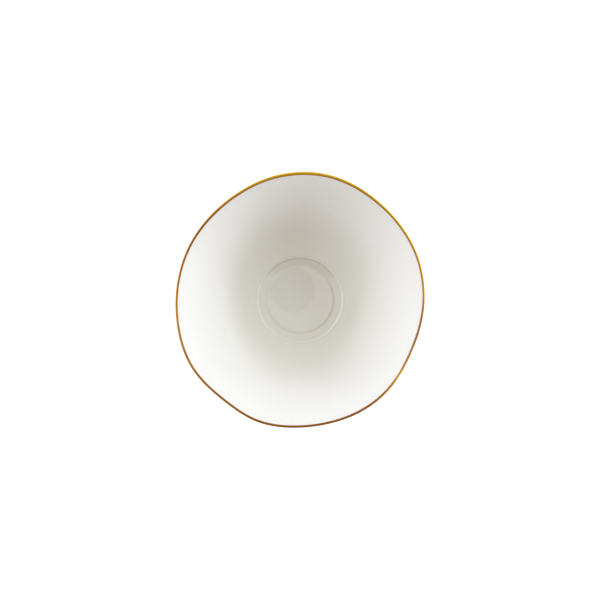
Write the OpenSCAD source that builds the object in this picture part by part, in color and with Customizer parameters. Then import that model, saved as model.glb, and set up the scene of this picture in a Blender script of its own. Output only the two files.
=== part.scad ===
// Porcelain serving bowl with a hand-shaped rim and a gold line round its lip.
// Millimetres, +Z up. The origin is the middle of the foot, on the table.
//
// Every coat lies face to face on what is under it: the clay body stands on
// its foot ring, glaze covers the clay inside, outside and under the floor,
// and the gold lies over the glaze on the lip.

/* [Overall size] */
// Mean diameter of the rim, between the middles of the lip
rim_d = 249.4; // [200:0.2:300]
// Height of the clay body, from the table to the top of the lip
bowl_h = 91; // [72:1:115]
// Outer diameter of the foot ring where it joins the bowl
foot_d = 98; // [78:1:120]

/* [Wall] */
// Lean of the wall at the rim, away from upright, in degrees
rim_lean = 16; // [6:1:28]
// Slope of the wall where it leaves the well, in degrees
root_slope = 4; // [1:1:10]
// How far the wall runs out before it turns up, as a share of its run
belly = 0.54; // [0.4:0.02:0.66]
// How far down the upright part reaches, as a share of the wall's rise
shoulder = 0.54; // [0.4:0.02:0.66]
// Thickness of the clay halfway up the wall
wall_t = 3.2; // [2:0.1:5]
// Thickness of the clay at the lip, on its thin side
lip_t = 1.2; // [0.8:0.1:2.4]
// Thickness of the clay floor under the well
floor_t = 4.6; // [3:0.2:8]

/* [Well] */
// Diameter of the crisp edge where the wall steps down into the well
well_d = 90.4; // [72:0.4:110]
// Height of that step
well_step = 1.2; // [0.4:0.1:2]
// How far the step leans inwards from its edge to its bottom
well_step_run = 1.6; // [0.8:0.1:3]
// Diameter of the flat disc in the middle of the well
disc_d = 68; // [50:0.5:70]
// How far the disc stands above the groove round it
disc_rise = 0.9; // [0:0.1:1.2]
// Width of the soft shoulder between the disc and the groove
disc_shoulder = 1.8; // [1:0.1:3]

/* [Foot ring] */
// Height of the foot ring
foot_h = 7; // [5:0.5:12]
// Width of its standing face, with the rounded edges
foot_w = 3.8; // [3:0.1:7]
// How much each side of the ring comes in from the bowl to the table
foot_taper = 1.2; // [0.4:0.1:2.5]
// Rounding of the two edges of the standing face
foot_edge = 0.8; // [0.3:0.1:1.2]
// Height of the bare clay, wiped clean of glaze, above the table
bare_h = 1.8; // [1.3:0.1:3]

/* [Coats] */
// Thickness of the glaze
glaze_t = 0.3; // [0.2:0.05:0.6]
// Thickness of the gold, drawn heavier than the real film
gold_t = 0.1; // [0.05:0.05:0.2]
// How far the gold comes down the lip on each side
gold_w = 2; // [1.5:0.1:5]

/* [Hand shaping] */
// How far the rim is drawn out into an oval, as a change of radius
rim_oval = 2; // [0:0.1:4]
// Direction of the oval's long way, in degrees from +X towards +Y
rim_oval_at = 65; // [0:1:180]
// How far the rim sits off the middle of the foot
rim_shift = 0.9; // [0:0.1:2]
// Direction in which it sits off
rim_shift_at = 270; // [0:1:360]
// Directions of the four hollows pressed into the rim
hollow_at = [48, 129, 231, 338]; // [0:1:360]
// Depths of the four hollows
hollow_depth = [1.8, 1.1, 1.8, 1]; // [0:0.1:3]
// Degrees that each hollow spreads to either side
hollow_spread = [35, 30, 24, 26]; // [20:1:45]
// Directions of the four bulges pulled out of the rim
bulge_at = [84, 212, 251, 307]; // [0:1:360]
// Heights of the four bulges
bulge_height = [1.1, 1.4, 1.1, 2.1]; // [0:0.1:3]
// Degrees that each bulge spreads to either side
bulge_spread = [40, 31, 22, 32]; // [20:1:45]
// Extra thickness of the lip on its thick side
lip_swell = 1; // [0:0.1:1.5]
// Direction of the thick side
lip_swell_at = 88; // [0:1:360]
// How far the rim rises and dips as it goes round
rim_lift = 1.2; // [0:0.1:3]
// Direction of the highest place
rim_lift_at = 30; // [0:1:360]

/* [Hidden] */

// Flat sides round the bowl, rings up each wall and rings over half the lip
SIDES = 72;
WALL_RINGS = 8;
LIP_RINGS = 2;
// How quickly the hand shaping fades from the rim to the round foot
FADE = 1.5;

CLAY = [0.93, 0.91, 0.86];
BARE_CLAY = [0.86, 0.82, 0.74];
GLAZE = [0.95, 0.95, 0.92];
BASE_GLAZE = [0.88, 0.89, 0.84];
GOLD = [0.80, 0.58, 0.14];

foot_r = foot_d / 2;
foot_low_r = foot_r - foot_taper;
foot_inner_low_r = foot_low_r - foot_w;
foot_inner_r = foot_inner_low_r - foot_taper;
// The clay's flat underside passes the foot ring by enough to hold the glaze
root_r = foot_r + 1.5;

groove_z = foot_h + floor_t;
well_z = groove_z + well_step;
well_r = well_d / 2;
disc_r = disc_d / 2;

lip_r = lip_t / 2;
lip_middle = [rim_d / 2, bowl_h - lip_r];
// Along the lip towards its top, and across it towards the outside
up_lip = [sin(rim_lean), cos(rim_lean)];
across_lip = [cos(rim_lean), -sin(rim_lean)];
// The lip is straight over the depth of the gold
lip_start = lip_middle - (gold_w - lip_r) * up_lip;

// ---- The two wall curves, each a cubic with its own end points ----

inner_foot = [well_r, well_z];
inner_top = lip_start - lip_r * across_lip;
outer_foot = [root_r, foot_h];
outer_top = lip_start + lip_r * across_lip;

wall_run = inner_top[0] - inner_foot[0];
wall_rise = inner_top[1] - inner_foot[1];
low_way = [cos(root_slope), sin(root_slope)];
low_down = [sin(root_slope), -cos(root_slope)];
inner_low = inner_foot + belly * wall_run * low_way;
inner_high = inner_top - shoulder * wall_rise / cos(rim_lean) * up_lip;

inner_curve = [inner_foot, inner_low, inner_high, inner_top];
outer_curve = [
    outer_foot,
    inner_low + wall_t * low_down,
    inner_high + wall_t * across_lip,
    outer_top,
];

function along(c, t) =
    pow(1 - t, 3) * c[0] + 3 * t * pow(1 - t, 2) * c[1]
    + 3 * t * t * (1 - t) * c[2] + pow(t, 3) * c[3];

function direction(c, t) =
    let (d = pow(1 - t, 2) * (c[1] - c[0]) + 2 * t * (1 - t) * (c[2] - c[1])
        + t * t * (c[3] - c[2]))
    d / norm(d);

// ---- Hand shaping: what changes from one side of the bowl to the other ----

function turn_between(a, b) = (a - b + 540) % 360 - 180;

// A smooth swelling of height 1 that spreads so many degrees to either side
function swelling(turn, spread) =
    abs(turn) < spread ? (1 + cos(180 * turn / spread)) / 2 : 0;

function swellings(a, places, spreads) =
    [for (i = [0:3]) swelling(turn_between(a, places[i]), spreads[i])];

function rim_change(a) =
    rim_oval * cos(2 * (a - rim_oval_at))
    + rim_shift * cos(a - rim_shift_at)
    + bulge_height * swellings(a, bulge_at, bulge_spread)
    - hollow_depth * swellings(a, hollow_at, hollow_spread);

function lip_extra(a) = lip_swell * pow(max(0, cos(a - lip_swell_at)), 2);

function rim_height_change(a) =
    rim_lift / 2 * (cos(2 * (a - rim_lift_at)) + cos(3 * (a - rim_lift_at)));

// The shaping is full at the rim and gone at the well and the foot
shaping_z = well_z + glaze_t;
function shaping(z) = pow(max(0, (z - shaping_z) / (bowl_h - shaping_z)), FADE);

// A section point is [radius, height, share of the way through the wall]
function place(p, a) =
    let (
        s = shaping(p[1]),
        r = p[0] + s * (rim_change(a) + (p[2] - 0.5) * lip_extra(a))
    )
    [r * cos(a), r * sin(a), p[1] + s * rim_height_change(a)];

// ---- Sections: the clay's own surface when coat is 0, or a coat's surface ----

function well_side(coat) = [
    [disc_r, groove_z + disc_rise + coat, 0],
    [disc_r + disc_shoulder, groove_z + coat, 0],
    [well_r - well_step_run, groove_z + coat, 0],
    [well_r, well_z + coat, 0],
];

function wall_side(curve, coat, out) = [
    for (i = [1:WALL_RINGS])
        let (
            t = i / WALL_RINGS,
            d = direction(curve, t),
            away = out == 1 ? [d[1], -d[0]] : [-d[1], d[0]],
            p = along(curve, t) + coat * away
        )
        [p[0], p[1], out]
];

// The round top of the lip, from its side to its middle
function lip_side(coat, out) = [
    for (i = [0:LIP_RINGS])
        let (
            swing = 90 * i / LIP_RINGS,
            side = out == 1 ? 1 : -1,
            p = lip_middle + (lip_r + coat)
                * (side * cos(swing) * across_lip + sin(swing) * up_lip)
        )
        [p[0], p[1], (1 + side * cos(swing)) / 2]
];

function inner_side(coat) =
    concat(well_side(coat), wall_side(inner_curve, coat, 0), lip_side(coat, 0));

function outer_side(coat) =
    concat(
        [[root_r, foot_h - coat, 1]],
        wall_side(outer_curve, coat, 1),
        lip_side(coat, 1)
    );

function backwards(list) = [for (i = [len(list) - 1:-1:0]) list[i]];
function but_first(list) = [for (i = [1:len(list) - 1]) list[i]];
// The part of a side that the gold covers: the wall's last ring and the lip
function gilded(list) = [for (i = [len(list) - LIP_RINGS - 2:len(list) - 1]) list[i]];

// Two triangles between the ring p and the ring q. The diagonal always starts
// on the lower ring, so that two solids that share these rings share its facets.
function facets(section, p, q, j) =
    let (
        k = (j + 1) % SIDES,
        a = p * SIDES + j,
        b = p * SIDES + k,
        c = q * SIDES + k,
        d = q * SIDES + j,
        rises = section[q][0] + section[q][1] > section[p][0] + section[p][1]
    )
    rises ? [[a, c, b], [a, d, c]] : [[a, d, b], [b, d, c]];

// Turns a section round the axis through the hand shaping. A section's points
// run counter-clockwise, up its outer side and back down its inner side. An open
// section starts and ends on a flat disc, and a closed one makes a ring.
module turned(section, open = false) {
    count = len(section);
    last = open ? count - 2 : count - 1;
    points = [for (p = section) for (j = [0:SIDES - 1]) place(p, 360 * j / SIDES)];
    skin = [
        for (i = [0:last])
            for (j = [0:SIDES - 1])
                each facets(section, i, (i + 1) % count, j)
    ];
    bottom = [for (j = [0:SIDES - 1]) j];
    top = [for (j = [SIDES - 1:-1:0]) (count - 1) * SIDES + j];
    polyhedron(points, open ? concat(skin, [bottom, top]) : skin);
}

// ---- The pieces ----

// The cast clay bowl: flat underside, outer wall, lip, inner wall and well
module porcelain_body() {
    color(CLAY)
        turned(
            concat(outer_side(0), but_first(backwards(inner_side(0)))),
            open = true
        );
}

// The ring that the bowl stands on, joined to the flat underside
module foot_ring() {
    color(BARE_CLAY)
        rotate_extrude($fn = 180)
            polygon([
                [foot_inner_r, foot_h],
                [foot_inner_low_r, foot_edge],
                [foot_inner_low_r + foot_edge, 0],
                [foot_low_r - foot_edge, 0],
                [foot_low_r, foot_edge],
                [foot_r, foot_h],
            ]);
}

module inside_glaze() {
    color(GLAZE)
        turned(
            concat(inner_side(0), backwards(inner_side(glaze_t))),
            open = true
        );
}

// Radius of the foot ring's outer and inner sides at a height
function foot_side(low_r, high_r, z) =
    low_r + (high_r - low_r) * (z - foot_edge) / (foot_h - foot_edge);

module outside_glaze() {
    bare_r = foot_side(foot_low_r, foot_r, bare_h);
    collar_r = foot_r + glaze_t / 2;
    color(GLAZE)
        union() {
            turned(concat(
                [[collar_r, foot_h - glaze_t, 1]],
                outer_side(glaze_t),
                backwards(outer_side(0)),
                [[collar_r, foot_h, 1]]
            ));
            rotate_extrude($fn = 180)
                polygon([
                    [bare_r, bare_h],
                    [bare_r + glaze_t, bare_h + glaze_t],
                    [foot_r + glaze_t, foot_h],
                    [foot_r, foot_h],
                ]);
        }
}

// Glaze under the floor and down the inner side of the foot ring
module base_glaze() {
    bare_r = foot_side(foot_inner_low_r, foot_inner_r, bare_h);
    color(BASE_GLAZE)
        rotate_extrude($fn = 180)
            polygon([
                [0, foot_h],
                [foot_inner_r, foot_h],
                [bare_r, bare_h],
                [bare_r - glaze_t, bare_h + glaze_t],
                [foot_inner_r - glaze_t, foot_h - glaze_t],
                [0, foot_h - glaze_t],
            ]);
}

module gold_band() {
    over_lip = concat(
        gilded(inner_side(glaze_t)),
        but_first(backwards(gilded(outer_side(glaze_t))))
    );
    gold_top = concat(
        gilded(inner_side(glaze_t + gold_t)),
        but_first(backwards(gilded(outer_side(glaze_t + gold_t))))
    );
    color(GOLD) turned(concat(over_lip, backwards(gold_top)));
}

porcelain_body();
foot_ring();
inside_glaze();
outside_glaze();
base_glaze();
gold_band();
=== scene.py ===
# %% [markdown]
# # A porcelain serving bowl with a gold lip
#
# This lesson rebuilds the looks of a hand-shaped porcelain bowl round a packed
# CAD model. The model is already the right size and shape, but it has flat
# facets and no finish. Each cell makes one thing: a measurement, a surface, a
# piece or a finish, in the order in which a pottery would make the bowl.

import math

import bpy
import numpy as np
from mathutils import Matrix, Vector
from mathutils.bvhtree import BVHTree


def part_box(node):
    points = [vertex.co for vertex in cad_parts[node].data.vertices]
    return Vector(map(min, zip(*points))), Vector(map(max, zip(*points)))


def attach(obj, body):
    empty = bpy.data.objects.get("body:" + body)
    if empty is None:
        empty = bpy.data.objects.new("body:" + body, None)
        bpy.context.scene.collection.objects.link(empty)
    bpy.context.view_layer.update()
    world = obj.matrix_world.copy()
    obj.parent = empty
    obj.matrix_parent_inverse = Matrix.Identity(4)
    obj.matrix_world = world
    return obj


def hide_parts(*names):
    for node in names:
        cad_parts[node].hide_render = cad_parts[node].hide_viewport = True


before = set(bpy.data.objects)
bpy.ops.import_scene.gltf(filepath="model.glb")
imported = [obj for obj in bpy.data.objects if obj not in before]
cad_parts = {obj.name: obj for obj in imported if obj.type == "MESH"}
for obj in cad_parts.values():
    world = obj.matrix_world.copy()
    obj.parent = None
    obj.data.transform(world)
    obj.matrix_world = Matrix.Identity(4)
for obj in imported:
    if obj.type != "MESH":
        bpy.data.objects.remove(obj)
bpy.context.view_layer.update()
MM = 0.001

for name in sorted(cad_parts):
    low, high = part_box(name)
    print(name, "is", [round(size / MM, 1) for size in high - low], "mm")

# %% [markdown]
# ## Reading the packed pieces
#
# The packed bowl was drawn as rings of 72 points. Its coats are only a third of
# a millimetre thick, so a new surface that wanders from those rings would cut
# through the next coat. One way is to type the sizes in again. It is safer to
# read the rings themselves, and to draw every new surface through them: then
# the looks follow the model when the model changes.

# %% The points of a piece, direction by direction
DIRECTIONS = 72
STEP = 360 / DIRECTIONS
SAME_PLACE = 0.01 * MM
# Degrees within which a point counts as lying in a direction
SAME_WAY = 0.02


def corners(node):
    """Every vertex of a packed piece as (radius, height), and its direction."""
    co = np.array([v.co[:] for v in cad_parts[node].data.vertices])
    radius = np.hypot(co[:, 0], co[:, 1])
    turn = np.degrees(np.arctan2(co[:, 1], co[:, 0])) % 360
    return np.stack([radius, co[:, 2]], axis=1), turn


def sections(node):
    """For each direction, the piece's own points in it."""
    points, turn = corners(node)
    nearest = np.round(turn / STEP)
    in_line = abs(turn - nearest * STEP) < SAME_WAY
    return [
        np.unique(points[in_line & (nearest % DIRECTIONS == k)].round(6), axis=0)
        for k in range(DIRECTIONS)
    ]


def shared(points, others):
    """Which of these points lie on one of the other points."""
    gap = np.hypot(*(points[:, None] - others[None]).transpose(2, 0, 1))
    return gap.min(axis=1) < SAME_PLACE


clay_rings = sections("porcelain_body")
inside_rings = sections("inside_glaze")
outside_rings = sections("outside_glaze")
gold_rings = sections("gold_band")
root_r = min(clay_rings[0], key=lambda p: (p[1], -p[0]))[0]
print("each direction of the clay has", len(clay_rings[0]), "points")

# %% [markdown]
# ## Sorting the points into surfaces
#
# A coat's points lie either on what is under it or on its own shown side. The
# ones that it shares with the piece below are its back, and the rest are its
# front. From the middle of the well to the lip the inside only ever gets wider,
# so radius puts its points in order. The outside only ever climbs, so height
# does there. The gold goes over the lip, so its points are sorted by the angle
# at which they stand round the lip's middle.

# %% Fronts and backs in order


def by_radius(points):
    return points[np.argsort(points[:, 0])]


def by_height(points):
    return points[np.argsort(points[:, 1])]


def over_the_lip(points):
    """From the inner edge, over the top, to the outer edge."""
    middle = points.mean(axis=0)
    angle = np.degrees(np.arctan2(*(points - middle).T[::-1]))
    return points[np.argsort(-((angle + 90) % 360))]


clay_in, clay_out, glaze_in, glaze_out, gold_front, gold_back = [], [], [], [], [], []
for clay, inside, outside, gold in zip(clay_rings, inside_rings, outside_rings, gold_rings):
    clay_in.append(by_radius(inside[shared(inside, clay)]))
    glaze_in.append(by_radius(inside[~shared(inside, clay)]))
    on_wall = outside[outside[:, 0] > root_r - SAME_PLACE]
    clay_out.append(by_height(on_wall[shared(on_wall, clay)]))
    glaze_out.append(by_height(on_wall[~shared(on_wall, clay)]))
    under = shared(gold, np.vstack([inside, outside]))
    gold_front.append(over_the_lip(gold[~under]))
    gold_back.append(over_the_lip(gold[under]))

clay_in, clay_out, glaze_in, glaze_out, gold_front, gold_back = (
    np.array(side)
    for side in (clay_in, clay_out, glaze_in, glaze_out, gold_front, gold_back)
)
glaze_t = glaze_in[0, 0, 1] - clay_in[0, 0, 1]
for side in (clay_in, clay_out, glaze_in, glaze_out, gold_front, gold_back):
    print("a surface of", side.shape[1], "rings")
print("the glaze is", round(glaze_t / MM, 2), "mm thick")

# %% [markdown]
# ## Smooth curves through few points
#
# A potter's rib leaves no corners, so the curve from ring to ring must not have
# any either, or the glaze would show them in its reflections. A subdivision
# surface would be quick, but it shrinks away from its points. Two exact tools
# stay on them: round the bowl, a sum of waves that passes through all 72
# points, and up the wall, a cubic spline. Each new point is a weighted sum of
# packed ones, so the new surfaces follow the model.

# %% Round the bowl and up the wall
FINE = 288
WALL_STEPS = 6
LIP_STEPS = 4


def around(rings):
    """The same rings with FINE points each, through all their own points."""
    waves = np.fft.rfft(rings, axis=0)
    waves[-1] /= 2
    more = np.zeros((FINE // 2 + 1, *rings.shape[1:]), complex)
    more[: len(waves)] = waves
    return np.fft.irfft(more, n=FINE, axis=0) * FINE / len(rings)


def weighted(rows, rings):
    return np.einsum("sn,dnc->dsc", np.array(rows), rings)


def spline(rings, steps=WALL_STEPS):
    """A curve with no corners through the rings, with steps spans to each gap."""
    count = rings.shape[1]
    gaps = np.linalg.norm(np.diff(rings.mean(axis=0), axis=0), axis=1)
    left, right = np.eye(count), np.zeros((count, count))
    for i in range(1, count - 1):
        before, after = gaps[i - 1], gaps[i]
        left[i, i - 1 : i + 2] = before, 2 * (before + after), after
        right[i, i - 1 : i + 2] = 6 / before, -6 / before - 6 / after, 6 / after
    bend = np.linalg.solve(left, right)
    rows = []
    for i, gap in enumerate(gaps):
        for u in np.arange(steps) / steps:
            row = (1 - u) * np.eye(count)[i] + u * np.eye(count)[i + 1]
            ease_out, ease_in = (1 - u) ** 3 - (1 - u), u**3 - u
            rows.append(row + (ease_out * bend[i] + ease_in * bend[i + 1]) * gap**2 / 6)
    rows.append(np.eye(count)[-1])
    return weighted(rows, rings)


def arc(rings, steps=LIP_STEPS):
    """A round curve through three rings."""
    u = np.linspace(0, 1, 2 * steps + 1)[:, None]
    rows = np.hstack([(2 * u - 1) * (u - 1), 4 * u * (1 - u), u * (2 * u - 1)])
    return weighted(rows, rings)


clay_in, clay_out, glaze_in, glaze_out, gold_front, gold_back = (
    around(side)
    for side in (clay_in, clay_out, glaze_in, glaze_out, gold_front, gold_back)
)
print("each ring now has", FINE, "points")

# %% [markdown]
# ## Rounded corners
#
# Nothing on a fired pot is knife sharp, because the clay is sponged and the
# glaze flows. A bevel modifier could round the corners, but it treats a whole
# mesh alike. Here each corner of a section gets its own curve, so that the
# crisp edge of the well and the soft shoulder in it can differ.

# %% A curve in place of a corner


def toward(start, end, reach):
    """The point that lies reach away from start on the way to end."""
    way = end - start
    return start + reach * way / np.linalg.norm(way, axis=-1, keepdims=True)


def bend_to(start, corner, end, steps=6):
    """A curve that leaves start for the corner and arrives at end from it."""
    u = np.linspace(0, 1, steps + 1)[None, :, None]
    start, corner, end = start[:, None], corner[:, None], end[:, None]
    return (1 - u) ** 2 * start + 2 * u * (1 - u) * corner + u**2 * end


def soften(before, corner, after, reach):
    """Rounds a corner off, from reach before it to reach after it."""
    return bend_to(toward(corner, before, reach), corner, toward(corner, after, reach))


def ring(radius, height):
    """One level ring, the same in every direction."""
    return np.repeat(np.array([[radius, height]]), FINE, axis=0)


def side_by_side(*rings):
    return np.stack(rings, axis=1)


print("a level ring has", len(ring(1, 0)), "points, like the others")

# %% [markdown]
# ## The inside surface: well, wall and half the lip
#
# The floor steps down into a round well at a crisp edge. The glaze softens
# every inner corner, because it runs into it and pools, so the edge is rounded
# by half a millimetre and the shoulder of the disc by more. The disc isn't
# flat: a floor of clay lifts a little in the middle as it dries, and glossy
# glaze shows the smallest slope.

# %% From the middle of the well to the top of the lip
DISC_DOME = 0.35 * MM
DISC_STEPS = 18
# How far each corner of the well is rounded: shoulder, groove, step, edge
WELL_REACH = [0.9 * MM, 0.9 * MM, 0.75 * MM, 0.55 * MM]


def inner_surface(side):
    """Rings from the middle of the well, up the wall, to the top of the lip."""
    disc_edge, wall = side[:, 0], spline(side[:, 3:-2])
    middle = disc_edge * [0, 1]
    out = np.arange(DISC_STEPS)[None, :, None] / DISC_STEPS
    dome = (1 - out**2) * [0, DISC_DOME]
    disc = middle[:, None] + out * (disc_edge - middle)[:, None] + dome
    line = [disc[:, -1], side[:, 0], side[:, 1], side[:, 2], side[:, 3], wall[:, 1]]
    well = [
        soften(line[i], line[i + 1], line[i + 2], reach)
        for i, reach in enumerate(WELL_REACH)
    ]
    return np.hstack([disc, *well, wall[:, 1:-1], arc(side[:, -3:])])


inner_glaze, inner_clay = inner_surface(glaze_in), inner_surface(clay_in)
print("the inside is", inner_glaze.shape[1], "rings from the well to the lip")

# %% [markdown]
# ## The outside surface: foot, wall and the other half of the lip
#
# The foot ring was thrown apart and joined on with slip, and it is truly round.
# The glaze was wiped off it just above the table, or the bowl would have stuck
# to the kiln shelf. So the glaze ends there in a soft thick edge, and where the
# wall leaves the foot it fills the corner with a fillet. The corners come from
# the packed pieces again, as radii at a height.

# %% The foot, the ends of the glaze on it, and the wall
FILLET = 1 * MM
# How far the glaze's last edge bulges, and how high that edge is, in thicknesses
GLAZE_BULGE, GLAZE_EDGE = 1.2, 2


def profile(node):
    """The different (radius, height) corners of a round piece, from the lowest."""
    points = np.unique(corners(node)[0].round(5), axis=0)
    return by_height(points)


def across(points, height):
    """The smallest and the largest radius at a height."""
    radii = points[abs(points[:, 1] - height) < SAME_PLACE][:, 0]
    return radii.min(), radii.max()


foot = profile("foot_ring")
foot_h = foot[-1, 1]
edge_h = np.unique(foot[:, 1])[1]
stand_in_r, stand_out_r = across(foot, 0)
edge_in_r, edge_out_r = across(foot, edge_h)
foot_in_r, foot_out_r = across(foot, foot_h)
taper = (foot_out_r - edge_out_r) / (foot_h - edge_h)


def foot_side_r(height, side):
    """Radius of the foot's outer side (1) or inner side (-1) at a height."""
    return (edge_out_r, edge_in_r)[side < 0] + side * taper * (height - edge_h)


bare_h = profile("base_glaze")[0, 1]
root_flat = glaze_out[:, 0]


def glaze_on_foot(side):
    """Rings of glaze on one side of the foot, from its lowest edge to its corner."""
    start = ring(foot_side_r(bare_h, side), bare_h)
    bulge = start + np.array([side * glaze_t * GLAZE_BULGE, 0])
    up = bare_h + GLAZE_EDGE * glaze_t
    side_low = ring(foot_side_r(up, side) + side * glaze_t, up)
    corner_h = foot_h - glaze_t
    corner = ring(foot_side_r(corner_h, side) + side * glaze_t, corner_h)
    beyond = root_flat if side > 0 else ring(0, corner_h)
    return np.hstack(
        [bend_to(start, bulge, side_low), soften(side_low, corner, beyond, FILLET)]
    )


def outer_wall(side):
    return np.hstack([spline(side[:, :-2])[:, :-1], arc(side[:, -3:])])


outer_clay = outer_wall(clay_out)
outer_glaze = np.hstack([glaze_on_foot(1), outer_wall(glaze_out)])
print("the foot stands on a face", round((stand_out_r - stand_in_r) / MM, 1), "mm wide")
print("the glaze ends", round(bare_h / MM, 1), "mm above the table")

# %% [markdown]
# ## From sections to closed pieces
#
# A lathe tool such as the Screw modifier turns one outline, but this bowl has a
# different outline in each direction. So the mesh is made directly: every
# outline is a column of points, and neighbouring columns are joined by quads.
# The outlines run counter-clockwise, up the outside and back down the inside,
# which makes every face point outwards. Where an outline ends on the axis, its
# last points are one vertex with a fan of triangles round it.

# %% Turning outlines into a mesh
SHARP = math.radians(35)
CHECK_EVERY = 7


def make_piece(name, node, section):
    """A closed smooth piece that stands for a packed node."""
    has_poles = section[0, 0, 0] < SAME_PLACE
    rings = section[:, 1:-1] if has_poles else section
    count = rings.shape[1]
    turn = np.radians(np.arange(FINE) * 360 / FINE)[:, None]
    radius, height = rings[..., 0], rings[..., 1]
    points = np.stack([radius * np.cos(turn), radius * np.sin(turn), height], axis=-1)
    points = points.transpose(1, 0, 2).reshape(-1, 3)
    j = np.arange(FINE)
    k = (j + 1) % FINE
    quads = []
    for low in range(count - 1 if has_poles else count):
        high = (low + 1) % count
        quads.append(
            np.stack([low * FINE + j, low * FINE + k, high * FINE + k, high * FINE + j])
        )
    faces = np.hstack(quads).T.tolist()
    points = points.tolist()
    if has_poles:
        points += [[0, 0, section[0, 0, 1]], [0, 0, section[0, -1, 1]]]
        first, last, top = len(points) - 2, len(points) - 1, (count - 1) * FINE
        faces += [[first, b, a] for a, b in zip(j.tolist(), k.tolist())]
        faces += [[top + a, top + b, last] for a, b in zip(j.tolist(), k.tolist())]
    mesh = bpy.data.meshes.new(name)
    mesh.from_pydata(points, [], faces)
    mesh.shade_smooth()
    mesh.set_sharp_from_angle(angle=SHARP)
    piece = bpy.data.objects.new(name, mesh)
    bpy.context.scene.collection.objects.link(piece)
    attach(piece, "root")
    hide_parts(node)
    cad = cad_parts[node].data
    packed = BVHTree.FromPolygons(
        [v.co for v in cad.vertices], [p.vertices[:] for p in cad.polygons]
    )
    gap = max(packed.find_nearest(Vector(p))[3] for p in points[::CHECK_EVERY])
    print(name, "has", len(faces), "faces, at most", round(gap / MM, 2), "mm from its node")
    return piece


# %% [markdown]
# ## The clay body
#
# The body is slip-cast porcelain, one wall from the flat underside over the lip
# and down into the well. Coats cover almost all of it, but it is still a whole
# piece of its own, so that someone can take the glaze away and see bare clay.

# %% The cast clay body
underside = side_by_side(ring(0, foot_h), ring(foot_in_r, foot_h), ring(foot_out_r, foot_h))
body = make_piece(
    "clay_body",
    "porcelain_body",
    np.hstack([underside, outer_clay, inner_clay[:, ::-1][:, 1:]]),
)

# %% [markdown]
# ## The foot ring
#
# The ring leans in towards the table on both sides, and its standing face is
# ground flat with its two edges rubbed round, so that it can't scratch a table.

# %% The foot ring
def rubbed(side):
    """The rounded edge of the standing face, from the face up to the side."""
    face_r = stand_out_r if side > 0 else stand_in_r
    corner = ring(foot_side_r(0, side), 0)
    return bend_to(ring(face_r, 0), corner, ring(foot_side_r(edge_h, side), edge_h))


foot_top = side_by_side(ring(foot_out_r, foot_h), ring(foot_in_r, foot_h))
foot_piece = make_piece(
    "foot_ring_clay", "foot_ring", np.hstack([rubbed(1), foot_top, rubbed(-1)[:, ::-1]])
)

# %% [markdown]
# ## The three coats of glaze
#
# The bowl was glazed in three pours: the inside was filled and tipped out, the
# outside was dipped, and the hollow under the floor was brushed. Each coat is a
# thin closed shell, with the clay's own surface as its back.

# %% Inside, outside and base glaze
inside = make_piece(
    "glaze_inside", "inside_glaze", np.hstack([inner_clay, inner_glaze[:, ::-1]])
)
outside = make_piece(
    "glaze_outside",
    "outside_glaze",
    np.hstack([outer_glaze, outer_clay[:, ::-1], side_by_side(ring(foot_out_r, foot_h))]),
)
base_front = np.hstack([glaze_on_foot(-1), side_by_side(ring(0, foot_h - glaze_t))])
base_back = side_by_side(ring(foot_in_r, foot_h), ring(0, foot_h))
base = make_piece("glaze_base", "base_glaze", np.hstack([base_front[:, ::-1], base_back]))

# %% [markdown]
# ## The gold line
#
# Liquid gold is painted over the fired glaze while the bowl turns slowly on a
# banding wheel. The brush lies over the lip, so the line covers a little of both
# walls. The lip's own faces could be coloured gold, but a real film has an edge
# that catches the light. So the line is a shell of its own: it is measured along
# the lip in each direction, set out in even steps, and made thinner towards both
# its edges.

# %% The brushed gold over the lip
GOLD_RINGS = 24
FLANK_STEPS = 5
FADE = 0.5 * MM
LEAST_GOLD = 0.3


def over_lip(side):
    """A closely stepped line from the inner edge, over the lip, to the outer edge."""
    steps = np.linspace(0, 1, FLANK_STEPS + 1)[None, :, None]
    inner = side[:, :1] + steps[:, :-1] * (side[:, 1:2] - side[:, :1])
    outer = side[:, 5:6] + steps[:, 1:] * (side[:, 6:7] - side[:, 5:6])
    return np.hstack([inner, arc(side[:, 1:4]), arc(side[:, 3:6])[:, 1:], outer])


def evenly(line):
    """The line in GOLD_RINGS even steps, and its width, in each direction."""
    gaps = np.linalg.norm(np.diff(line, axis=1), axis=2)
    along = np.hstack([np.zeros((FINE, 1)), np.cumsum(gaps, axis=1)])
    rows = []
    for points, way in zip(line, along):
        places = np.linspace(0, way[-1], GOLD_RINGS)
        rows.append(np.stack([np.interp(places, way, points[:, i]) for i in (0, 1)], axis=1))
    return np.array(rows), along[:, -1]


back, line_w = evenly(over_lip(gold_back))
front, _ = evenly(over_lip(gold_front))
on_line = np.linspace(0, 1, GOLD_RINGS)[None, :]
from_edge = np.minimum(on_line, 1 - on_line) * line_w[:, None]
film = LEAST_GOLD + (1 - LEAST_GOLD) * np.sin(np.pi / 2 * np.clip(from_edge / FADE, 0, 1))
front = back + film[..., None] * (front - back)
gold = make_piece("gold_line", "gold_band", np.hstack([back, front[:, ::-1]]))
print("the gold is", np.round([line_w.min() / MM, line_w.max() / MM], 1), "mm wide")

# %% [markdown]
# ## Sums that become shader nodes
#
# A finish is mostly arithmetic: how deep is this point, is it inside the pool,
# how thick is the film. Such sums can be wired by hand in the shader editor, but
# they are hard to read there. A small class around a socket lets them be written
# as ordinary Python, and each operator adds its own Math node. Any other node
# comes from one method, which takes its settings before its sockets.

# %% A wire of a shader


def feed(socket, value):
    """Links a wire into a socket, or sets the socket to a plain value."""
    if isinstance(value, Wire):
        socket.id_data.links.new(value.socket, socket)
    elif socket.type == "RGBA":
        socket.default_value = (*value, 1)
    else:
        socket.default_value = value


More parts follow.
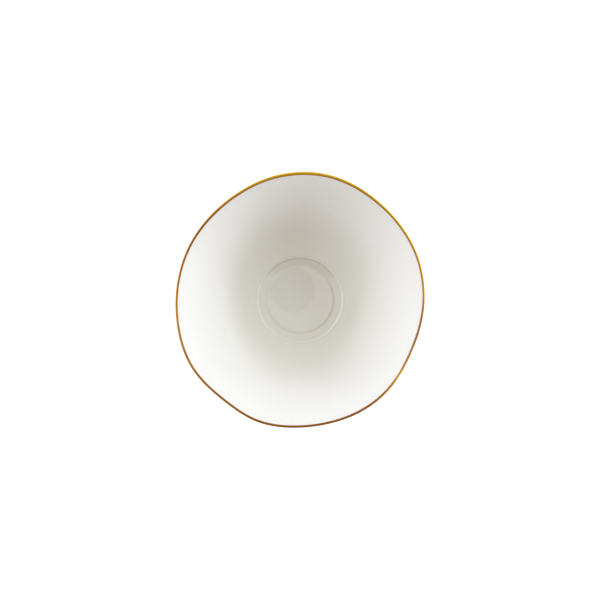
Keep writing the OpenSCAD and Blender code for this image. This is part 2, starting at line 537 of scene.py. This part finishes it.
class Wire:
    """An output of a shader node that can stand in ordinary sums."""

    def __init__(self, socket):
        self.socket = socket

    def node(self, kind, settings=None, values=None, output=0):
        """Adds any node to the same shader and gives one of its outputs."""
        made = self.socket.id_data.nodes.new("ShaderNode" + kind)
        for name, value in (settings or {}).items():
            setattr(made, name, value)
        for name, value in (values or {}).items():
            feed(made.inputs[name], value)
        return Wire(made.outputs[output])

    def beside(self, output):
        """Another output of the node that this wire comes from."""
        return Wire(self.socket.node.outputs[output])

    def math(self, operation, *terms):
        return self.node("Math", {"operation": operation}, dict(enumerate(terms)))

    def __add__(self, other):
        return self.math("ADD", self, other)

    def __sub__(self, other):
        return self.math("SUBTRACT", self, other)

    def __rsub__(self, other):
        return self.math("SUBTRACT", other, self)

    def __mul__(self, other):
        return self.math("MULTIPLY", self, other)

    def __truediv__(self, other):
        return self.math("DIVIDE", self, other)

    def __pow__(self, other):
        return self.math("POWER", self, other)

    def __abs__(self):
        return self.math("ABSOLUTE", self)

    __radd__ = __add__
    __rmul__ = __mul__

    def fade(self, start, end):
        """0 up to start, 1 from end on, and a smooth change between them."""
        settings = {"interpolation_type": "SMOOTHSTEP"}
        values = {"Value": self, "From Min": min(start, end), "From Max": max(start, end)}
        rise = self.node("MapRange", settings, values)
        return rise if start < end else 1 - rise


def mixed(first, second, share):
    """A colour that goes from first to second as share goes from 0 to 1."""
    return share.node("Mix", {"data_type": "RGBA"}, {0: share, 6: first, 7: second}, 2)


def cloud(place, scale, detail=2):
    """Soft noise with about this many lumps in a metre."""
    return place.node("TexNoise", None, {"Vector": place, "Scale": scale, "Detail": detail})


def specks(place, scale, size, share):
    """Round specks of a size, in a share of the cells of a grid."""
    gap = place.node("TexVoronoi", None, {"Vector": place, "Scale": scale}, "Distance")
    chance = gap.node("SeparateColor", None, {0: gap.beside("Color")}, "Red")
    return (gap / scale).fade(size, size / 2) * chance.fade(1 - share, 1 - share + 0.01)


def start_finish(piece, name):
    """A material on a piece: its shader, and the point, direction and radius in it."""
    paint = bpy.data.materials.new(name)
    paint.use_nodes = True
    piece.data.materials.append(paint)
    shader = paint.node_tree.nodes["Principled BSDF"]
    place = Wire(shader.outputs[0]).node("TexCoord", output="Object")
    x = place.node("SeparateXYZ", None, {0: place}, "X")
    y, z = x.beside("Y"), x.beside("Z")
    print(name, "goes on", piece.name)
    return shader, place, (x, y, z), (x * x + y * y) ** 0.5


def set_finish(shader, colour, rough, bump_height, bump_depth):
    """Feeds the three things that vary over any of these finishes."""
    feed(shader.inputs["Base Color"], colour)
    feed(shader.inputs["Roughness"], rough)
    bump = colour.node("Bump", None, {"Height": bump_height, "Distance": bump_depth})
    feed(shader.inputs["Normal"], bump)
    print("it has", len(shader.id_data.nodes), "nodes")


print("a wire has", sum(callable(part) for part in vars(Wire).values()), "methods")

# %% [markdown]
# ## The glaze inside
#
# This is a clear glaze with a breath of iron in it over white clay. Towards the
# bottom of the bowl it turns from white to a warm ivory grey: partly the tone of
# thicker glaze, partly painted shade of the bowl's depths. The groove has a
# painted shadow along its step at the back, and painted shade in the crease at
# the foot of the disc's shoulder, strongest on the right. A tan crescent at the
# back of the groove and a grey patch on the disc are painted reflections. A bump
# map alone would miss all this, because it is colour, so masks made from the
# radius and the height paint it.
#
# Thick glaze sets like glass, and the thin coat on the wall is silkier. Fine
# ripples break up the reflections, and a few specks of iron burnt through.

# %% Ivory glaze with painted shade and painted reflections in the well
GLAZE_WHITE = (0.89, 0.87, 0.855)
# Partly painted shade: the bowl's depths are tinted darker with this colour
GLAZE_THICK_AND_SHADED = (0.81, 0.79, 0.72)
# Paints shadow, shade and a reflection in the groove inside, and pooled glaze under the
# floor
GLAZE_POOL_SHADE_AND_REFLECTION = (0.63, 0.57, 0.46)
# Paints a reflection: the grey of the patch on the disc
DISC_REFLECTION_GREY = (0.62, 0.61, 0.56)
IRON = (0.30, 0.25, 0.20)
GLAZE_ROUGH = 0.1
WALL_ROUGH = 0.4
ROUGH_DRIFT = 0.08
RIPPLE = 0.06 * MM
SPECK = 0.3 * MM
# Heights at which the glaze is thickest and darkest, with painted shade, and thinnest and
# palest
THICK_SHADED_Z, THIN_LIT_Z = 12 * MM, 42 * MM
# How far inside its corner a painted shade line lies, how far it reaches, and its full part
STEP_SHADOW = (0.2 * MM, 1.8 * MM, 0.2 * MM)
DISC_CREASE_SHADE = (0.6 * MM, 2.1 * MM, 0.3 * MM)
# A painted reflection on the disc: a soft grey patch where it mirrors the dim room
REFLECTION_PLACE = (-8.5 * MM, 10.5 * MM)
REFLECTION_R = 24 * MM
REFLECTION_EDGE = 1.2 * MM
REFLECTION_WOBBLE = 6 * MM


def glaze_skin(place):
    """The height of the ripples that any poured glaze has."""
    return cloud(place, 45, 1) * 0.7 + cloud(place, 210) * 0.3


def iron_specks(place):
    """Rare larger specks and more common small ones."""
    return specks(place, 38, SPECK, 0.10) + specks(place, 90, SPECK * 0.6, 0.06)


def shade_beside(radius, corner_r, inset, reach, full):
    """1 in the painted shade along a round corner, and 0 beyond its reach."""
    return abs(radius - (corner_r - inset)).fade(reach, full)


shader, place, (x, y, z), radius = start_finish(inside, "ivory_glaze")
disc_foot_r, step_foot_r, step_top_r = glaze_in[0, 1:4, 0]
toward_back, toward_right = y / radius, x / radius
depth = z.fade(THIN_LIT_Z, THICK_SHADED_Z)
uneven = cloud(place, 60)
# Painted shadow along the step of the well, strongest at the back, where the step faces away
# from the light
step_shadow = shade_beside(radius, step_foot_r, *STEP_SHADOW)
# Painted shade in the crease at the foot of the disc's shoulder, strongest on the right and
# left out at the back
disc_crease_shade = shade_beside(radius, disc_foot_r, *DISC_CREASE_SHADE)
past_disc = radius.fade(disc_foot_r - MM, disc_foot_r + MM)
before_step = radius.fade(step_foot_r + 0.4 * MM, step_foot_r - 0.4 * MM)
# Painted reflection: a tan crescent in the groove at the back, where the glaze mirrors the
# dim side of the room
tan_reflection = (toward_back + toward_right * 0.05 + uneven * 0.08).fade(0.55, 0.8)
at_back, not_at_back = toward_back.fade(0.35, 0.85), toward_back.fade(0.75, 0.2)
# The painted shadow, painted shade and painted reflection of the groove, together
shade_and_reflection = (
    step_shadow * (0.05 + 0.75 * at_back)
    + disc_crease_shade * (0.3 + 0.4 * toward_right.fade(-0.2, 0.9)) * not_at_back
    + past_disc * before_step * tan_reflection * 0.55
)
# Painted reflection: a soft grey patch on the disc, with the rest of the disc lighter beside
# it
off_x, off_y = x - REFLECTION_PLACE[0], y - REFLECTION_PLACE[1]
from_reflection = (off_x * off_x + off_y * off_y) ** 0.5 + (uneven - 0.5) * REFLECTION_WOBBLE
on_disc = radius.fade(disc_foot_r, disc_foot_r - 2 * MM)
disc_reflection = from_reflection.fade(REFLECTION_R + REFLECTION_EDGE, REFLECTION_R - REFLECTION_EDGE) * on_disc
drift = cloud(place, 14, 1) * 0.35 + uneven * 0.25
# Darker and warmer towards the bottom: partly a thicker glaze tone, partly painted shade of
# the bowl's depths
colour = mixed(GLAZE_WHITE, GLAZE_THICK_AND_SHADED, depth * (0.85 + drift * 0.25))
colour = mixed(mixed(colour, GLAZE_POOL_SHADE_AND_REFLECTION, shade_and_reflection * 0.6), DISC_REFLECTION_GREY, disc_reflection * 0.2)
colour = mixed(colour, IRON, iron_specks(place) * 0.7)
on_wall = radius.fade(step_top_r + 1.5 * MM, step_top_r + 2.5 * MM)
rough = GLAZE_ROUGH + (WALL_ROUGH - GLAZE_ROUGH) * on_wall
rough = rough + ROUGH_DRIFT * (cloud(place, 130) - 0.5)
set_finish(shader, colour, rough, glaze_skin(place), RIPPLE)

# %% [markdown]
# ## The glaze outside
#
# Outside, the same glaze ran down the wall before it set. It left faint curtains
# that hang towards the foot, and a thicker, warmer roll where it stopped. The
# curtains are noise stretched along the wall: its coordinates are the direction
# round the bowl, wound close, and the height, let out long.

# %% Ivory glaze with curtains
CURTAINS = 16
CURTAIN_DROP = 14
ROLL_TOP = 6 * MM


def wound(x, y, radius, close, up):
    """Noise coordinates that run round the bowl, wound close, and up or across."""
    # Sine and cosine of the direction join up at the back, where an angle would jump
    turns = {0: x / radius * close, 1: y / radius * close, 2: up}
    return x.node("CombineXYZ", None, turns)


shader, place, (x, y, z), radius = start_finish(outside, "ivory_glaze_run")
curtain = cloud(wound(x, y, radius, CURTAINS, z * CURTAIN_DROP), 1, 3)
roll = z.fade(bare_h + ROLL_TOP, bare_h + glaze_t)
colour = mixed(GLAZE_WHITE, GLAZE_THICK_AND_SHADED, curtain.fade(0.35, 0.75) * 0.2 + roll * 0.45)
colour = mixed(colour, IRON, iron_specks(place) * 0.7)
rough = GLAZE_ROUGH + 0.10 * (curtain - 0.5)
set_finish(shader, colour, rough, glaze_skin(place) * 0.6 + curtain * 0.4, 1.5 * RIPPLE)

# %% [markdown]
# ## The glaze under the floor
#
# The hollow inside the foot was glazed last, with a wide brush and the bowl
# upside down on the wheel. It shows rings of brush marks, pinholes where air
# came out of the clay, and a greyer tone, because the coat is thin.

# %% Brushed base glaze
BASE_THIN = (0.80, 0.79, 0.74)
BASE_THICK = (0.88, 0.86, 0.80)
BRUSH_TURNS, BRUSH_RINGS = 1.5, 420
BRUSH_MARK = 0.1 * MM
PINHOLE = 0.35 * MM
POOLED_W = 3 * MM

shader, place, (x, y, z), radius = start_finish(base, "brushed_base_glaze")
brushed = cloud(wound(x, y, radius, BRUSH_TURNS, radius * BRUSH_RINGS), 1, 3)
pinholes = specks(place, 150, PINHOLE, 0.12)
colour = mixed(BASE_THIN, BASE_THICK, brushed.fade(0.3, 0.7))
colour = mixed(colour, GLAZE_POOL_SHADE_AND_REFLECTION, radius.fade(foot_in_r - POOLED_W, foot_in_r) * 0.25)
colour = mixed(colour, IRON, (iron_specks(place) + pinholes * 0.5) * 0.7)
rough = GLAZE_ROUGH + 0.25 * brushed.fade(0.7, 0.3)
skin = brushed * 0.5 - pinholes + glaze_skin(place) * 0.5
set_finish(shader, colour, rough, skin, BRUSH_MARK)

# %% [markdown]
# ## Bare clay
#
# Fired porcelain without glaze is matt, faintly grainy and a little warmer than
# the glaze. The grain is fine noise in the bump. On the foot there is more to
# see: the flame toasts a thin line of clay right beside the glaze, and the
# ground standing face picks up grey rub marks from tables and other dishes.

# %% Bisque clay for the body and toasted clay for the foot
CLAY_PALE = (0.84, 0.81, 0.75)
CLAY_WARM = (0.78, 0.73, 0.64)
TOASTED = (0.62, 0.42, 0.25)
RUBBED = (0.42, 0.40, 0.37)
GRAIN = 0.05 * MM
TOAST_W = 0.7 * MM
RUB_TURNS, RUB_RINGS = 3, 700
# Heights above the table between which the rub marks end
RUB_LOW, RUB_HIGH = 0.02 * MM, 0.12 * MM


def bare_clay(place):
    """The colour and the grain that all the unglazed clay has."""
    grain = cloud(place, 1400, 3)
    patchy = cloud(place, 30) * 0.6 + grain * 0.4
    colour = mixed(CLAY_PALE, CLAY_WARM, patchy.fade(0.35, 0.65))
    return mixed(colour, IRON, specks(place, 120, SPECK, 0.08) * 0.6), grain


shader, place, _, _ = start_finish(body, "bisque_clay")
colour, grain = bare_clay(place)
set_finish(shader, colour, 0.7 + grain * 0.2, grain, GRAIN)

shader, place, (x, y, z), radius = start_finish(foot_piece, "toasted_foot_clay")
colour, grain = bare_clay(place)
wobble = (cloud(place, 160) - 0.5) * MM
toast = (z + wobble).fade(bare_h - TOAST_W, bare_h)
on_table = z.fade(RUB_HIGH, RUB_LOW)
marks = cloud(wound(x, y, radius, RUB_TURNS, radius * RUB_RINGS), 1, 3).fade(0.5, 0.7)
rub = on_table * marks
colour = mixed(mixed(colour, TOASTED, toast * 0.55), RUBBED, rub * 0.5)
set_finish(shader, colour, 0.75 + grain * 0.2 - rub * 0.2, grain - rub * 0.3, GRAIN)

# %% [markdown]
# ## The gold
#
# Fired gold is a film much thinner than a hair. Where the brush was full it is
# bright yellow, and where it ran dry the film is so thin that it looks brown.
# The yellow and the brown are also painted light: the lip is painted yellower at
# the back, as if the light fell on it there, and browner at the front. Its inner
# edge is browner too, partly because the brush only grazed the wall there, and
# partly as painted shade where the edge faces away from the light. How full the
# brush was and how lit the lip is are given together at a few directions round
# the lip and read off between them. This value is stored on the mesh as an
# attribute, which the shader reads. Streaks of noise along the lip stand for the
# hairs of the brush.

# %% Brushed gold
# Full and lit, thin and shaded: these colours carry painted light as well as the film's
# thickness
GOLD_FULL_AND_LIT = (0.92, 0.56, 0.04)
GOLD_THIN_AND_SHADED = (0.33, 0.105, 0.01)
# How full the brush was, together with painted light that is brightest at the back, from 0
# to 1, at a few directions in degrees
BRUSH_AND_LIGHT = (
    (0, 0.45), (30, 0.6), (60, 0.65), (90, 1), (120, 0.5), (150, 0.08),
    (180, 0.4), (210, 0.3), (270, 0.22), (300, 0.08), (322, 0.6), (345, 0.08),
)
THIN_SHADED_EDGE = 0.55
HAIR_TURNS, HAIR_RINGS = 9, 900
HAIRS = 0.02 * MM

where, brush_and_light_values = np.array(BRUSH_AND_LIGHT).T
brush_and_light = np.interp(np.arange(FINE) * 360 / FINE, where, brush_and_light_values, period=360)
# The inner edge is browner: partly thinner film, partly painted shade where the edge faces
# away from the light
inner_edge = np.clip(on_line / THIN_SHADED_EDGE, 0.1, 1)
film_and_light = inner_edge * brush_and_light[:, None]
values = np.hstack([film_and_light, film_and_light[:, ::-1]]).T.ravel()
# The attribute holds the film's thickness together with the painted light
stored = gold.data.attributes.new("film", "FLOAT", "POINT")
stored.data.foreach_set("value", values.astype(np.float32))

shader, place, (x, y, z), radius = start_finish(gold, "brushed_gold")
shader.inputs["Metallic"].default_value = 1
thick_and_lit = place.node("Attribute", {"attribute_name": "film"}, None, "Fac")
hairs = cloud(wound(x, y, radius, HAIR_TURNS, (z - radius) * HAIR_RINGS), 1, 3)
full = (thick_and_lit + (hairs - 0.5) * 0.3).fade(0.02, 0.95)
# Yellow where the film is full and painted as lit, brown where it is thin and painted as
# shaded
colour = mixed(GOLD_THIN_AND_SHADED, GOLD_FULL_AND_LIT, full)
set_finish(shader, colour, 0.5 - full * 0.1 + (hairs - 0.5) * 0.1, hairs, HAIRS)

# %% [markdown]
# ## The slots of the finishes
#
# The packed bowl has a named slot for each of its materials. Here each new piece
# is only printed beside the slot that its finish is meant to fill.

# %% Each piece printed beside its slot
for piece, slot in (
    (body, "clay"),
    (foot_piece, "bare_clay"),
    (inside, "inside_glaze"),
    (outside, "outside_glaze"),
    (base, "base_glaze"),
    (gold, "gold"),
):
    print(piece.name, "fills the slot", slot)

# %% [markdown]
# ## The camera
#
# The bowl is seen from straight above, as a plate is shown in a catalogue. A
# camera close to a bowl makes the rim look wide and the foot small, and a
# distant one flattens it, so the distance matters as much as the lens. This one
# hangs about a metre and a half up with a long lens. It is measured from the
# lip, because the lip gives the bowl its outline.

# %% The camera above
LENS, SENSOR = 85, 36
ABOVE_LIP = 1.411
AIM = (-0.15 * MM, -0.5 * MM)

lip_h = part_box("gold_band")[1].z
camera_data = bpy.data.cameras.new("camera_above")
camera_data.lens, camera_data.sensor_width = LENS, SENSOR
camera = bpy.data.objects.new("camera_above", camera_data)
camera.location = (*AIM, lip_h + ABOVE_LIP)
bpy.context.scene.collection.objects.link(camera)
bpy.context.scene.camera = camera
bpy.context.scene.view_settings.view_transform = "Standard"
print("the camera is", round(camera.location.z, 3), "m above the floor")

# %% [markdown]
# ## The floor
#
# White porcelain on white paper is hard to show. The paper has to come out quite
# white, but paper so bright throws its own light up under the wall, and then the
# outside of the bowl melts into it. A studio lays black cards beside the bowl to
# stop that. Here the floor is left out of the diffuse bounces, which does the
# same. It glows a little, so that the shadows on it stay light.

# %% A floor of white paper
FLOOR_HALF = 4
FLOOR_CORNERS = ((-1, -1), (1, -1), (1, 1), (-1, 1))
PAPER = (0.9, 0.9, 0.9, 1)
PAPER_ROUGH = 0.9
PAPER_GLOW = 0.45
GLOW_COLOUR = (0.93, 0.96, 1, 1)

floor_mesh = bpy.data.meshes.new("floor")
floor_mesh.from_pydata(
    [(FLOOR_HALF * right, FLOOR_HALF * back, 0) for right, back in FLOOR_CORNERS],
    [],
    [range(len(FLOOR_CORNERS))],
)
floor = bpy.data.objects.new("floor", floor_mesh)
bpy.context.scene.collection.objects.link(floor)
floor.visible_diffuse = False
paper = bpy.data.materials.new("white_paper")
paper.use_nodes = True
paper_shader = paper.node_tree.nodes["Principled BSDF"]
for socket, value in (
    ("Base Color", PAPER),
    ("Roughness", PAPER_ROUGH),
    ("Emission Color", GLOW_COLOUR),
    ("Emission Strength", PAPER_GLOW),
):
    paper_shader.inputs[socket].default_value = value
floor.data.materials.append(paper)
print("the floor is", 2 * FLOOR_HALF, "m wide")

# %% [markdown]
# ## The light
#
# The wall is bright to the left, to the right and in front, and dim at the back
# and in the well. So the light comes low over the rim from big softboxes on the
# two sides, each built of a low row and higher ones, and hardly any comes from
# the front, the back or above. A softbox close to the bowl gives soft edges. Its
# power is worked out from its brightness and its area, so that a bigger box
# isn't a dimmer one. The lights are a little cool against the warm glaze. Their
# brightnesses started from a fit to the shading wanted inside the bowl, and were
# then rounded and adjusted.
#
# The room around is a dull warm grey, which fills in the well. Where the camera
# sees past the edge of the floor the room is pale instead.

# %% Softboxes round the bowl
LIGHT_COLOUR = (0.915, 1, 1.08)
LIGHT_AWAY = 1.5
ROOM_FILL = (0.37, 0.33, 0.27)
ROOM_SEEN = (0.9, 0.9, 0.9)
# Name, direction and height in degrees, width and height in metres, brightness
SOFTBOXES = (
    ("right_low", 20, 17, 2, 0.36, 1.7),
    ("right_high", 20, 30, 2, 0.36, 5.5),
    ("right_top", 20, 46, 1.5, 0.5, 0.4),
    ("right_wing", 325, 20, 0.9, 0.5, 2),
    ("left_low", 160, 17, 2, 0.36, 2),
    ("left_high", 160, 30, 2, 0.36, 3),
    ("left_top", 160, 46, 1.5, 0.5, 2),
    ("left_wing", 215, 20, 0.9, 0.5, 0.7),
    ("behind", 90, 20, 1, 0.5, 0.9),
    ("in_front", 270, 20, 1, 0.5, 0.6),
    ("above", 110, 66, 1.5, 0.5, 0.5),
)


def softbox(name, direction, height, width, tall, brightness):
    """Hangs a soft rectangular light that faces the bowl."""
    data = bpy.data.lights.new(name, "AREA")
    data.shape = "RECTANGLE"
    data.size, data.size_y = width, tall
    data.energy = brightness * math.pi * width * tall
    data.color = LIGHT_COLOUR
    light = bpy.data.objects.new(name, data)
    turned, raised = math.radians(direction), math.radians(height)
    level = math.cos(raised)
    way = Vector((level * math.cos(turned), level * math.sin(turned), math.sin(raised)))
    light.location = way * LIGHT_AWAY
    light.rotation_euler = (-way).to_track_quat("-Z", "Y").to_euler()
    light.visible_camera = False
    bpy.context.scene.collection.objects.link(light)
    return data.energy


power = sum(softbox(*box) for box in SOFTBOXES)
room = bpy.data.worlds.new("room")
room.use_nodes = True
bpy.context.scene.world = room
air = room.node_tree.nodes["Background"]
seen = Wire(air.outputs[0]).node("LightPath", output="Is Camera Ray")
feed(air.inputs["Color"], mixed(ROOM_FILL, ROOM_SEEN, seen))
print(len(SOFTBOXES), "softboxes with", round(power, 1), "W in all")

# %% [markdown]
# ## The size
#
# Smoothing a shape can make it grow or shrink without anyone noticing. Each new
# piece printed how far every seventh of its points lies at most from its packed
# node.
